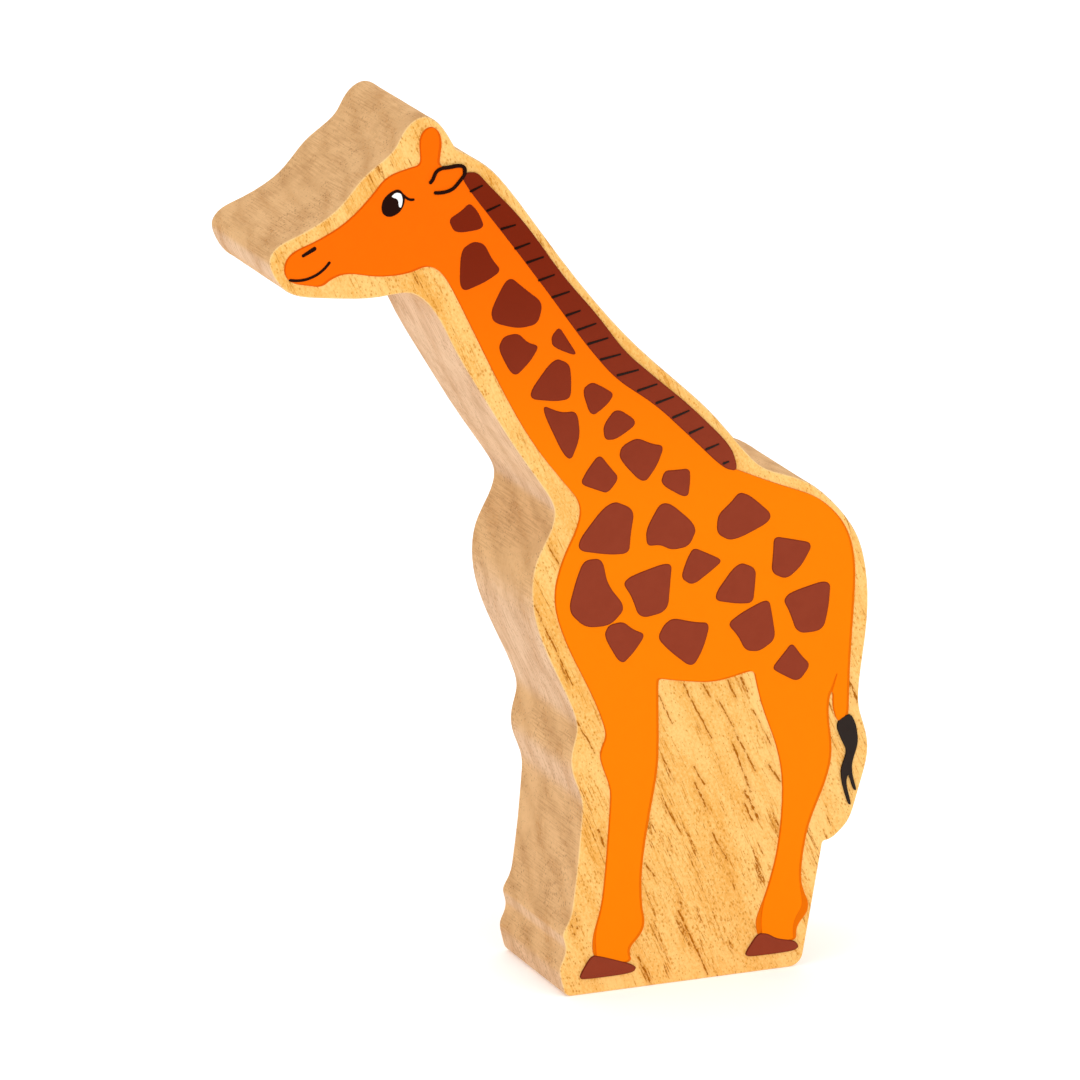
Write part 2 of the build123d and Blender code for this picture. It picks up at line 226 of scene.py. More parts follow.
class Graph:
    """A material's node tree, with short ways to add and join nodes."""

    def __init__(self, name: str) -> None:
        """Start an empty material.

        Args:
            name: The material's name.
        """
        self.material = bpy.data.materials.new(name)
        self.material.use_nodes = True
        self.tree = self.material.node_tree
        self.tree.nodes.clear()

    def add(self, kind: str, inputs: dict | None = None, **settings: object) -> bpy.types.Node:
        """Add a node.

        Args:
            kind: The node's type, without its ShaderNode prefix.
            inputs: Input name or number to a socket to link or a value to set.
            settings: The node's own properties.

        Returns:
            The node.
        """
        node = self.tree.nodes.new("ShaderNode" + kind)
        for name, value in settings.items():
            setattr(node, name, value)
        for key, value in (inputs or {}).items():
            if isinstance(value, Socket):
                self.tree.links.new(value, node.inputs[key])
            else:
                node.inputs[key].default_value = value
        return node

    def math(self, operation: str, first: Value, second: Value = 0.0, clamp: bool = False) -> Socket:
        """A sum on one or two values.

        Args:
            operation: Blender's name for it.
            first: First value.
            second: Second value.
            clamp: Whether the result is kept between 0 and 1.

        Returns:
            The result.
        """
        return self.add("Math", {0: first, 1: second}, operation=operation, use_clamp=clamp).outputs[0]

    def step(self, value: Value, low: Value, high: Value) -> Socket:
        """Rise smoothly from 0 at low to 1 at high, or fall where low is the larger.

        Args:
            value: What is measured.
            low: Where the result is 0.
            high: Where the result is 1.

        Returns:
            The share, 0 to 1.
        """
        inputs = {"Value": value, "From Min": low, "From Max": high}
        return self.add("MapRange", inputs, interpolation_type="SMOOTHSTEP").outputs["Result"]

    def mix(self, share: Value, first: Colour | Socket, second: Colour | Socket) -> Socket:
        """Mix two colours.

        Args:
            share: How much of the second.
            first: The colour at 0.
            second: The colour at 1.

        Returns:
            The mixed colour.
        """
        return self.add("MixRGB", {"Fac": share, "Color1": first, "Color2": second}).outputs["Color"]

    def times(self, first: Value, second: Value) -> Socket:
        """The product of two values."""
        return self.math("MULTIPLY", first, second)

    def plus(self, first: Value, second: Value) -> Socket:
        """The sum of two values."""
        return self.math("ADD", first, second)

    def between(self, share: Socket, at_none: float, at_full: float) -> Socket:
        """A value that runs evenly from one number to another as a share goes from 0 to 1."""
        return self.plus(self.times(share, at_full - at_none), at_none)

    def vector(self, operation: str, first: Socket | tuple, second: Socket | tuple) -> Socket:
        """A sum on two vectors.

        Args:
            operation: Blender's name for it.
            first: First vector.
            second: Second vector.

        Returns:
            The resulting vector.
        """
        return self.add("VectorMath", {0: first, 1: second}, operation=operation).outputs["Vector"]

    def dot(self, first: Socket | tuple, second: Socket | tuple) -> Socket:
        """The dot product of two vectors."""
        return self.add("VectorMath", {0: first, 1: second}, operation="DOT_PRODUCT").outputs["Value"]

    def part(self, vector: Socket, axis: str) -> Socket:
        """One of a vector's three numbers."""
        return self.add("SeparateXYZ", {0: vector}).outputs[axis]

    def place_mm(self) -> Socket:
        """The place on the piece, in millimetres."""
        return self.vector("MULTIPLY", self.add("TexCoord").outputs["Object"], (1 / MM, 1 / MM, 1 / MM))

    def wavered_mm(self, place: Socket, scale: float, detail: float, reach: tuple[float, float, float]) -> Socket:
        """Move places a little to and fro, as living wood does.

        Args:
            place: Where the wavering is read.
            scale: Its frequency.
            detail: How many finer octaves it has.
            reach: The whole span that it moves a place along each axis, in millimetres.

        Returns:
            How far each place moves.
        """
        waver = self.add("TexNoise", {"Vector": place, "Scale": scale, "Detail": detail}).outputs["Color"]
        centred = self.vector("SUBTRACT", waver, (0.5, 0.5, 0.5))
        return self.vector("MULTIPLY", centred, reach)

    def normal(self) -> Socket:
        """The surface's direction on the piece."""
        return self.add("TexCoord").outputs["Normal"]

    def bump(self, height_mm: Value, strength: float) -> Socket:
        """Relief in the shading.

        Args:
            height_mm: The relief's height in millimetres.
            strength: How much of it shows.

        Returns:
            The shading normal.
        """
        return self.add("Bump", {"Height": height_mm, "Strength": strength, "Distance": MM}).outputs["Normal"]

    def surface(self, inputs: dict) -> bpy.types.Material:
        """Finish the material with one principled surface.

        Args:
            inputs: The surface's inputs.

        Returns:
            The material.
        """
        shader = self.add("BsdfPrincipled", inputs)
        output = self.add("OutputMaterial")
        self.tree.links.new(shader.outputs["BSDF"], output.inputs["Surface"])
        return self.material


@dataclass(frozen=True)
class Cloud:
    """Cloudy noise between 0 and 1."""

    squeeze: tuple[float, float, float]
    scale: float
    detail: float
    roughness: float = 0.5

    def read(self, graph: Graph, place: Socket) -> Socket:
        """Read the noise, drawn out along every axis whose squeeze is under 1.

        Args:
            graph: The material.
            place: Where it is read, in millimetres.

        Returns:
            The noise.
        """
        squeezed = graph.vector("MULTIPLY", place, self.squeeze)
        inputs = {"Vector": squeezed, "Scale": self.scale, "Detail": self.detail, "Roughness": self.roughness}
        return graph.add("TexNoise", inputs).outputs["Fac"]


@dataclass(frozen=True)
class EdgeAndFace:
    """A number that differs between the sawn edge and the flat faces."""

    edge: float
    face: float

    def at(self, graph: Graph, flat: Socket) -> Socket:
        """The number at a place, where flat is 1 on a flat face and 0 on the sawn edge."""
        return graph.between(flat, self.edge, self.face)


@dataclass(frozen=True)
class Fibres:
    """How the tree's fibres and rings run through the board."""

    lean_degrees: float = 24.0
    dive_degrees: float = 3.5
    ring_turn_degrees: float = 21.0
    ring_mm: float = 4.4
    ring_unevenness: float = 1.6
    ring_cloud: Cloud = Cloud(EVEN, 0.06, 1.0)
    waver_mm: float = 2.6
    waver_scale: float = 0.035
    waver_squeeze: tuple[float, float, float] = (1.0, 1.0, 0.35)

    def along(self, graph: Graph) -> Socket:
        """Turn places so that Z runs along the fibres.

        Args:
            graph: The material.

        Returns:
            The place in millimetres, Z along the fibres and X across the rings.
        """
        place = graph.place_mm()
        turns = (
            ((0, 1, 0), self.lean_degrees),
            ((1, 0, 0), self.dive_degrees),
            ((0, 0, 1), self.ring_turn_degrees),
        )
        for axis, angle in turns:
            inputs = {"Vector": place, "Axis": axis, "Angle": math.radians(angle)}
            place = graph.add("VectorRotate", inputs, rotation_type="AXIS_ANGLE").outputs["Vector"]
        long_wave = graph.vector("MULTIPLY", place, self.waver_squeeze)
        span = (2 * self.waver_mm, 2 * self.waver_mm, 0)
        return graph.vector("ADD", place, graph.wavered_mm(long_wave, self.waver_scale, 1.0, span))

    def direction(self) -> tuple[float, float, float]:
        """The fibres' direction in the board, near enough for shading."""
        lean = math.radians(self.lean_degrees)
        return (-math.sin(lean), 0.0, math.cos(lean))

    def rings(self, graph: Graph, along: Socket) -> Socket:
        """How far through its year each ring is, from 0 to 1.

        Args:
            graph: The material.
            along: Places from along().

        Returns:
            The share of the ring.
        """
        years = graph.math("DIVIDE", graph.part(along, "X"), self.ring_mm)
        uneven = graph.times(self.ring_cloud.read(graph, along), self.ring_unevenness)
        return graph.math("FRACT", graph.plus(years, uneven))


@dataclass(frozen=True)
class Streaks:
    """Dark streaks where open vessels and pitch run just under the surface, drawn out along the fibres."""

    vessels: Cloud
    threshold: float
    early_gain: float
    softness: float = 0.06
    halo_reach: float = 0.1
    region: Cloud = Cloud((1.0, 1.0, 0.4), 1 / 9, 1.0)
    region_gain: float = 0.34
    breaks: Cloud = Cloud((1.0, 1.0, 0.5), 3.4, 2.0, 0.7)
    break_rise: Rise = (0.38, 0.56)

    def masks(self, graph: Graph, along: Socket, early: Socket) -> tuple[Socket, Socket]:
        """Where the streaks are, and where the wood is stained beside them.

        Args:
            graph: The material.
            along: Places with Z along the fibres.
            early: 1 in a ring's first wood, where the vessels are widest.

        Returns:
            1 in a streak and 0 outside it, and the same for its stain.
        """
        strength = graph.plus(self.vessels.read(graph, along), graph.times(early, self.early_gain))
        region = graph.math("SUBTRACT", self.region.read(graph, along), 0.5)
        strength = graph.plus(strength, graph.times(region, self.region_gain))
        full = self.threshold + self.softness
        whole = graph.step(strength, self.threshold, full)
        stain = graph.step(strength, self.threshold - self.halo_reach, full)
        broken = graph.step(self.breaks.read(graph, along), *self.break_rise)
        return graph.times(whole, broken), stain


@dataclass(frozen=True)
class Pores:
    """Fine pores: small dark dots, a little longer along the fibres, thick in some places and thin in others."""

    spacing_mm: float = 0.42
    stretch: float = 1.6
    radius: float = 0.64
    core: float = 0.3
    thin: float = 0.55
    region: Cloud = Cloud(EVEN, 1 / 11, 2.0)
    region_rise: Rise = (0.4, 0.62)

    def mask(self, graph: Graph, along: Socket) -> Socket:
        """Where the pores are.

        Args:
            graph: The material.
            along: Places with Z along the fibres.

        Returns:
            1 in a pore and 0 outside it.
        """
        pitch = 1 / self.spacing_mm
        place = graph.vector("MULTIPLY", along, (pitch, pitch, pitch / self.stretch))
        cells = graph.add("TexVoronoi", {"Vector": place, "Scale": 1.0, "Randomness": 1.0})
        luck = graph.part(cells.outputs["Color"], "X")
        region = graph.step(self.region.read(graph, along), *self.region_rise)
        radius = graph.times(graph.times(luck, self.radius), graph.between(region, self.thin, 1.0))
        return graph.step(cells.outputs["Distance"], radius, graph.times(radius, self.core))


@dataclass(frozen=True)
class Vein:
    """One long vessel or hair crack that lies open in the left face, from its top to its foot, in X and Z."""

    top_mm: tuple[float, float]
    foot_mm: tuple[float, float]
    half_width_mm: float

    def nearness(self, graph: Graph, place: Socket) -> Socket:
        """How far a place is from the vein, in half widths.

        Args:
            graph: The material.
            place: Places in millimetres, with Y left out.

        Returns:
            0 on the vein's line and 1 at its edge.
        """
        run = (self.foot_mm[0] - self.top_mm[0], 0.0, self.foot_mm[1] - self.top_mm[1])
        length_squared = run[0] ** 2 + run[2] ** 2
        share_run = (run[0] / length_squared, 0.0, run[2] / length_squared)
        from_top = graph.vector("SUBTRACT", place, (self.top_mm[0], 0.0, self.top_mm[1]))
        share = graph.math("ADD", graph.dot(from_top, share_run), 0.0, clamp=True)
        nearest = graph.add("VectorMath", {0: run, "Scale": share}, operation="SCALE").outputs["Vector"]
        off = graph.vector("SUBTRACT", from_top, nearest)
        distance = graph.add("VectorMath", {0: off}, operation="LENGTH").outputs["Value"]
        return graph.math("DIVIDE", distance, self.half_width_mm)


@dataclass(frozen=True)
class Veins:
    """The left face's own veins, the most open ones that this board has."""

    veins: tuple[Vein, ...] = (
        Vein((-0.5, 48.8), (4.3, 39.5), 0.16),
        Vein((3.0, 48.4), (4.0, 46.2), 0.2),
        Vein((5.5, 45.3), (8.0, 40.9), 0.16),
        Vein((8.2, 40.2), (11.7, 33.3), 0.2),
        Vein((8.0, 37.9), (11.0, 29.9), 0.24),
        Vein((10.0, 30.0), (12.5, 25.1), 0.26),
        Vein((9.9, 28.1), (11.4, 25.1), 0.2),
        Vein((7.1, 48.6), (8.4, 45.4), 0.18),
        Vein((9.3, 48.7), (10.4, 46.3), 0.2),
        Vein((11.4, 43.1), (14.4, 37.3), 0.14),
        Vein((-4.1, 37.6), (-1.9, 33.1), 0.13),
        Vein((1.3, 35.1), (3.1, 32.0), 0.18),
        Vein((1.5, 32.5), (3.7, 27.9), 0.24),
        Vein((4.5, 23.9), (7.1, 19.1), 0.2),
        Vein((-3.6, 29.7), (-0.8, 24.6), 0.12),
        Vein((14.0, 33.8), (16.0, 30.9), 0.2),
        Vein((-4.6, 47.4), (-2.3, 42.6), 0.14),
        Vein((-1.1, 11.7), (3.9, 0.6), 0.18),
        Vein((-8.0, 5.0), (-5.3, -0.7), 0.2),
        Vein((-7.0, 20.4), (-5.2, 17.9), 0.18),
        Vein((-25.5, 64.4), (-22.8, 58.6), 0.19),
        Vein((-22.8, 58.6), (-19.1, 50.8), 0.14),
        Vein((-18.3, 44.7), (-15.4, 39.4), 0.15),
        Vein((-23.2, 73.8), (-21.5, 70.7), 0.14),
        Vein((-14.8, 26.8), (-13.8, 23.9), 0.22),
        Vein((27.5, 46.6), (29.1, 42.4), 0.3),
        Vein((-18.8, 13.6), (-18.7, 13.3), 0.24),
        Vein((-18.4, 12.7), (-18.2, 12.4), 0.24),
        Vein((-19.2, 11.8), (-19.1, 11.5), 0.24),
        Vein((-18.3, 11.4), (-18.2, 11.2), 0.24),
        Vein((-18.9, 10.3), (-18.8, 10.1), 0.24),
    )
    waver_mm: float = 0.5
    waver_scale: float = 0.5
    breaks: Cloud = Cloud((1.0, 1.0, 0.4), 2.6, 3.0, 0.7)
    break_rise: Rise = (0.56, 0.4)
    break_depth: float = 0.9
    vein_rise: Rise = (1.25, 0.55)
    stain_rise: Rise = (4.5, 0.6)
    left_rise: Rise = (-0.6, -0.9)

    def masks(self, graph: Graph, along: Socket) -> tuple[Socket, Socket]:
        """Where the veins are, and where the wood is stained beside them.

        Args:
            graph: The material.
            along: Places with Z along the fibres.

        Returns:
            1 in a vein and 0 outside it, and the same for its stain.
        """
        shift = graph.wavered_mm(graph.place_mm(), self.waver_scale, 2.0, (self.waver_mm,) * 3)
        place = graph.vector("MULTIPLY", graph.vector("ADD", graph.place_mm(), shift), (1, 0, 1))
        nearest = self.veins[0].nearness(graph, place)
        for vein in self.veins[1:]:
            nearest = graph.math("MINIMUM", nearest, vein.nearness(graph, place))
        broken = graph.times(graph.step(self.breaks.read(graph, along), *self.break_rise), self.break_depth)
        left = graph.step(graph.part(graph.normal(), "Y"), *self.left_rise)
        vein_mask = graph.step(graph.plus(nearest, broken), *self.vein_rise)
        return graph.times(vein_mask, left), graph.times(graph.step(nearest, *self.stain_rise), left)


@dataclass(frozen=True)
class Grain:
    """What the wood's colours and relief are worked out from, at each place on the board."""

    along: Socket
    early: Socket
    facing: Socket
    flat: Socket
    end_grain: Socket
    fine: Socket
    scratch: Socket


@dataclass(frozen=True)
class OiledFace:
    """The flat faces' colour, rubbed with clear oil, before any pore or streak."""

    pale: Colour = srgb(255, 206, 126)
    deep: Colour = srgb(238, 172, 80)
    fine_share: float = 0.3
    broad: Cloud = Cloud((1.0, 1.0, 0.22), 0.16, 3.0, 0.55)
    broad_share: float = 0.7
    early_share: float = 0.07
    grit: Cloud = Cloud((1.0, 1.0, 0.6), 3.1, 2.0, 0.7)
    grit_share: float = 0.8
    rise: Rise = (0.3, 0.8)

    def colour(self, graph: Graph, grain: Grain) -> Socket:
        """Shade from pale to deep with the grain.

        Args:
            graph: The material.
            grain: The wood's grain.

        Returns:
            The colour.
        """
        broad = graph.times(self.broad.read(graph, grain.along), self.broad_share)
        tone = graph.plus(graph.times(grain.fine, self.fine_share), broad)
        tone = graph.plus(tone, graph.times(grain.early, self.early_share))
        grit = graph.math("SUBTRACT", self.grit.read(graph, grain.along), 0.5)
        tone = graph.plus(tone, graph.times(grit, self.grit_share))
        return graph.mix(graph.step(tone, *self.rise), self.pale, self.deep)


@dataclass(frozen=True)
class RawEdge:
    """The sawn edge's colour, left raw, before any pore or streak."""

    long: Colour = srgb(233, 195, 158)
    end: Colour = srgb(231, 184, 130)
    shade: Colour = srgb(166, 112, 60)
    blotches: Cloud = Cloud(EVEN, 0.17, 4.0, 0.62)
    blotch_rise: Rise = (0.42, 0.72)
    blotch_share: float = 0.27
    early_share: float = 0.18
    thread_rise: Rise = (0.44, 0.68)
    thread_end_rise: Rise = (1.6, -0.4)
    thread_share: float = 0.42
    scratch_rise: Rise = (0.42, 0.66)
    scratch_end_rise: Rise = (-0.4, 1.0)
    scratch_patches: Cloud = Cloud(EVEN, 0.09, 2.0)
    scratch_patch_rise: Rise = (0.36, 0.6)
    scratch_share: float = 0.3

    def colour(self, graph: Graph, grain: Grain) -> Socket:
        """Shade the edge with blotches, rings, threads and the sanding belt's scratches.

        Args:
            graph: The material.
            grain: The wood's grain.

        Returns:
            The colour.
        """
        place = graph.place_mm()
        end_grain = grain.end_grain
        blotches = graph.step(self.blotches.read(graph, place), *self.blotch_rise)
        threads = graph.step(grain.fine, *self.thread_rise)
        threads = graph.times(threads, graph.step(end_grain, *self.thread_end_rise))
        scored = graph.step(grain.scratch, *self.scratch_rise)
        scored = graph.times(scored, graph.step(end_grain, *self.scratch_end_rise))
        patch = graph.step(self.scratch_patches.read(graph, place), *self.scratch_patch_rise)
        shades = (
            (blotches, self.blotch_share),
            (grain.early, self.early_share),
            (threads, self.thread_share),
            (graph.times(scored, patch), self.scratch_share),
        )
        colour = graph.mix(end_grain, self.long, self.end)
        for shade, share in shades:
            colour = graph.mix(graph.times(shade, share), colour, self.shade)
        return colour


@dataclass(frozen=True)
class SawnWood:
    """Pale open-pored hardwood: oiled flat faces, raw sawn edges, dark pores, streaks and veins over both, and a
    painted highlight along the arrises.
    """

    fibres: Fibres = Fibres()
    face: OiledFace = OiledFace()
    edge: RawEdge = RawEdge()
    # Painted highlight along the arrises: its pale colour, and how much of it shows.
    arris_highlight: Colour = srgb(255, 224, 164)
    arris_highlight_share: float = 0.4
    pore: Colour = srgb(166, 92, 0)
    fleck: Colour = srgb(200, 122, 10)
    edge_pore: Colour = srgb(132, 84, 40)
    thread: Cloud = Cloud((1.0, 1.0, 0.07), 2.2, 4.0, 0.6)
    belt: Cloud = Cloud((1.0, 0.05, 1.0), 4.2, 1.0)
    pitch: Streaks = Streaks(Cloud((1.0, 1.0, 0.045), 1.9, 2.0, 0.55), 0.7, 0.08)
    hairs: Streaks = Streaks(Cloud((1.0, 1.0, 0.05), 3.2, 2.0, 0.55), 0.63, 0.06)
    veins: Veins = Veins()
    pores: Pores = Pores()
    stain_share: EdgeAndFace = EdgeAndFace(0.1, 0.26)
    vein_stain_share: EdgeAndFace = EdgeAndFace(0.0, 0.24)
    pore_share: EdgeAndFace = EdgeAndFace(0.5, 0.66)
    hair_share: EdgeAndFace = EdgeAndFace(0.2, 0.64)
    pitch_share: EdgeAndFace = EdgeAndFace(0.14, 0.9)
    vein_share: EdgeAndFace = EdgeAndFace(0.0, 0.97)
    roughness: EdgeAndFace = EdgeAndFace(0.72, 0.58)
    gloss: float = 0.05
    scratch_mm: float = 0.05
    pitch_mm: float = -0.006
    pore_mm: float = -0.004
    thread_mm: float = 0.008
    relief_strength: float = 0.6

    def grain(self, graph: Graph) -> Grain:
        """Work out the grain, and which way the surface faces.

        Args:
            graph: The material.

        Returns:
            The grain.
        """
        along = self.fibres.along(graph)
        off_middle = graph.math("ABSOLUTE", graph.math("SUBTRACT", self.fibres.rings(graph, along), 0.5))
        facing = graph.math("ABSOLUTE", graph.part(graph.normal(), "Y"))
        across = graph.math("ABSOLUTE", graph.dot(graph.normal(), self.fibres.direction()))
        return Grain(
            along=along,
            early=graph.step(off_middle, 0.15, 0.5),
            facing=facing,
            flat=graph.step(facing, 0.45, 0.9),
            end_grain=graph.step(across, 0.05, 0.5),
            fine=self.thread.read(graph, along),
            scratch=self.belt.read(graph, graph.place_mm()),
        )

    def bare(self, graph: Graph, grain: Grain) -> Socket:
        """The colour before any pore or streak, with a painted highlight along the arrises.

        Args:
            graph: The material.
            grain: The wood's grain.

        Returns:
            The colour.
        """
        wood = graph.mix(grain.flat, self.edge.colour(graph, grain), self.face.colour(graph, grain))
        # Painted highlight: where the flat face turns into the sawn edge, the colour is lightened towards a pale
        # tone, as if the arris caught the lamps.
        arris = graph.times(graph.step(grain.facing, 0.35, 0.7), graph.step(grain.facing, 0.99, 0.8))
        return graph.mix(graph.times(arris, self.arris_highlight_share), wood, self.arris_highlight)

    def material(self) -> bpy.types.Material:
        """Build the wood.

        Returns:
            The material.
        """
        graph = Graph("pale_hardwood")
        grain = self.grain(graph)
        pores = self.pores.mask(graph, grain.along)
        hairs, _ = self.hairs.masks(graph, grain.along, grain.early)
        pitch, stain = self.pitch.masks(graph, grain.along, grain.early)
        veins, vein_stain = self.veins.masks(graph, grain.along)
        marks = (
            (stain, self.fleck, self.stain_share),
            (vein_stain, self.fleck, self.vein_stain_share),
            (pores, graph.mix(grain.flat, self.edge_pore, self.fleck), self.pore_share),
            (hairs, self.fleck, self.hair_share),
            (pitch, self.pore, self.pitch_share),
            (veins, self.pore, self.vein_share),
        )
        wood = self.bare(graph, grain)
        for mask, colour, share in marks:
            wood = graph.mix(graph.times(mask, share.at(graph, grain.flat)), wood, colour)

        scored = graph.times(grain.scratch, graph.math("SUBTRACT", 1.0, grain.flat))
        relief = graph.times(scored, self.scratch_mm)
        for mask, depth_mm in ((pitch, self.pitch_mm), (pores, self.pore_mm), (grain.fine, self.thread_mm)):
            relief = graph.plus(relief, graph.times(mask, depth_mm))
        return graph.surface(
            {
                "Base Color": wood,
                "Roughness": self.roughness.at(graph, grain.flat),
                "Specular IOR Level": self.gloss,
                "Normal": graph.bump(relief, self.relief_strength),
            }
        )


@dataclass(frozen=True)
class Paint:
    """A satin film of opaque paint, a little deeper in colour towards the head and along its own edge."""

    name: str
    colour: Colour
    head_colour: Colour
    edge_colour: Colour
    roughness: float = 0.52
    roughness_swing: float = 0.06
    roughness_cloud: Cloud = Cloud(EVEN, 1.2, 3.0)
    gloss: float = 0.03
    turn_mm: Rise = (70.0, 128.0)
    mottle: Cloud = Cloud(EVEN, 0.5, 4.0, 0.65)
    mottle_rise: Rise = (0.3, 0.8)
    mottle_share: float = 0.14
    rim_share: float = 0.85
    fibres: Fibres = Fibres()
    thread: Cloud = Cloud((1.0, 1.0, 0.06), 2.4, 3.0, 0.6)
    thread_mm: float = 0.012
    peel: Cloud = Cloud(EVEN, 5.0, 2.0)
    peel_mm: float = 0.004
    relief_strength: float = 0.5

    def material(self) -> bpy.types.Material:
        """Build the paint.

        Returns:
            The material.
        """
        graph = Graph(self.name)
        place = graph.place_mm()
        towards_head = graph.step(graph.part(place, "Z"), *self.turn_mm)
        colour = graph.mix(towards_head, self.colour, self.head_colour)
        mottle = graph.step(self.mottle.read(graph, place), *self.mottle_rise)
        colour = graph.mix(graph.times(mottle, self.mottle_share), colour, self.edge_colour)
        rim = graph.add("Attribute", attribute_name=RIM).outputs["Fac"]
        colour = graph.mix(graph.times(rim, self.rim_share), colour, self.edge_colour)

        thread = graph.times(self.thread.read(graph, self.fibres.along(graph)), self.thread_mm)
        relief = graph.plus(thread, graph.times(self.peel.read(graph, place), self.peel_mm))
        low, high = self.roughness - self.roughness_swing, self.roughness + self.roughness_swing
        return graph.surface(
            {
                "Base Color": colour,
                "Roughness": graph.between(self.roughness_cloud.read(graph, place), low, high),
                "Specular IOR Level": self.gloss,
                "Normal": graph.bump(relief, self.relief_strength),
            }
        )


# ---------------------------------------------------------------- pieces


@dataclass
class WoodBlock:
    """The board that the whole figure is: sawn in outline, faces planed, edges eased and sanded by hand."""

    node: str = "wood_block"
    name: str = "sawn_board"
    body: str = "root"
    arris: float = 0.4 * MM
    arris_steps: int = 4
    courses: int = 24
    longest_step: float = 0.8 * MM
    shortest_step: float = 0.1 * MM
    sanding_depth: float = 0.07 * MM
    sanding_span: float = 7.0 * MM
    sanding_fade: float = 1.6 * MM
    sole_fade: float = 2.0 * MM
    smooth_degrees: float = 40.0
    finish: SawnWood = field(default_factory=SawnWood)

    def __post_init__(self) -> None:
        """Take the block's own box from the CAD node."""
        self.low, self.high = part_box(self.node)

    def outline(self) -> bpy.types.Object:
        """Cut the CAD block through its middle and keep only the cut's outline, in even steps.

        Returns:
            The outline, in edit mode and selected.
        """
        piece = copy_of_node(self.node, self.name)
        bpy.ops.mesh.select_all(action="SELECT")
        bpy.ops.mesh.bisect(plane_co=(0, 0, 0), plane_no=(0, 1, 0))
        bpy.ops.mesh.select_mode(type="VERT")
        bpy.ops.mesh.select_all(action="DESELECT")
        shape = bmesh.from_edit_mesh(piece.data)
        for vertex in shape.verts:
            vertex.select_set(abs(vertex.co.y) > 0.0001 * MM)
        bmesh.update_edit_mesh(piece.data)
        bpy.ops.mesh.delete(type="VERT")
        bpy.ops.mesh.select_all(action="SELECT")
        bpy.ops.mesh.remove_doubles(threshold=self.shortest_step)
        while select_edges(piece, lambda edge: edge.calc_length() > self.longest_step):
            bpy.ops.mesh.subdivide(number_cuts=1)
        bpy.ops.mesh.select_all(action="SELECT")
        return piece

    def saw(self) -> None:
        """Raise the selected outline into the board, in courses from the left face to the right."""
        bpy.ops.transform.translate(value=(0, self.low.y, 0))
        bpy.ops.mesh.edge_face_add()
        course = (self.high.y - self.low.y) / self.courses
        for _ in range(self.courses):
            bpy.ops.mesh.extrude_region_move(TRANSFORM_OT_translate={"value": (0, course, 0)})
        bpy.ops.mesh.select_all(action="SELECT")
        bpy.ops.mesh.normals_make_consistent(inside=False)

    def ease_arrises(self, piece: bpy.types.Object) -> None:
        """Round the edges between the flat faces and the sawn edge.

        Args:
            piece: The board.
        """

        def between(edge: bmesh.types.BMEdge) -> bool:
            """Whether an edge parts a flat face from the sawn edge."""
            flat = [abs(face.normal.y) > 0.9 for face in edge.link_faces]
            return any(flat) and not all(flat)

        select_edges(piece, between)
        bpy.ops.mesh.bevel(offset=self.arris, segments=self.arris_steps, profile=0.5)

    def sand(self, piece: bpy.types.Object) -> None:
        """Sink the sawn edge here and there, as a sanding drum does, and leave the flat faces and the sole true.

        Args:
            piece: The board.
        """
        work_on(piece, "OBJECT")
        group = piece.vertex_groups.new(name="sawn_edge")
        flat = self.high.y - self.arris
        for vertex in piece.data.vertices:
            inside = min(1.0, max(0.0, (flat - abs(vertex.co.y)) / self.sanding_fade))
            off_sole = min(1.0, max(0.0, (vertex.co.z - self.low.z) / self.sole_fade - 0.5))
            group.add([vertex.index], inside * off_sole, "REPLACE")
        clouds = bpy.data.textures.new("sanding", "CLOUDS")
        clouds.noise_scale = self.sanding_span
        clouds.noise_depth = 2
        sanding = piece.modifiers.new("sanding", "DISPLACE")
        sanding.texture = clouds
        sanding.texture_coords = "LOCAL"
        sanding.vertex_group = group.name
        sanding.mid_level = 1.0
        sanding.strength = self.sanding_depth
        apply_modifiers(piece)
        piece.vertex_groups.clear()

    def build(self) -> bpy.types.Object:
        """Make the board and dress it.

        Returns:
            The finished board.
        """
        piece = self.outline()
        self.saw()
        self.ease_arrises(piece)
        self.sand(piece)
        smooth(piece, self.smooth_degrees)
        piece.data.materials.append(self.finish.material())
        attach(piece, self.body)
        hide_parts(self.node)
        return piece


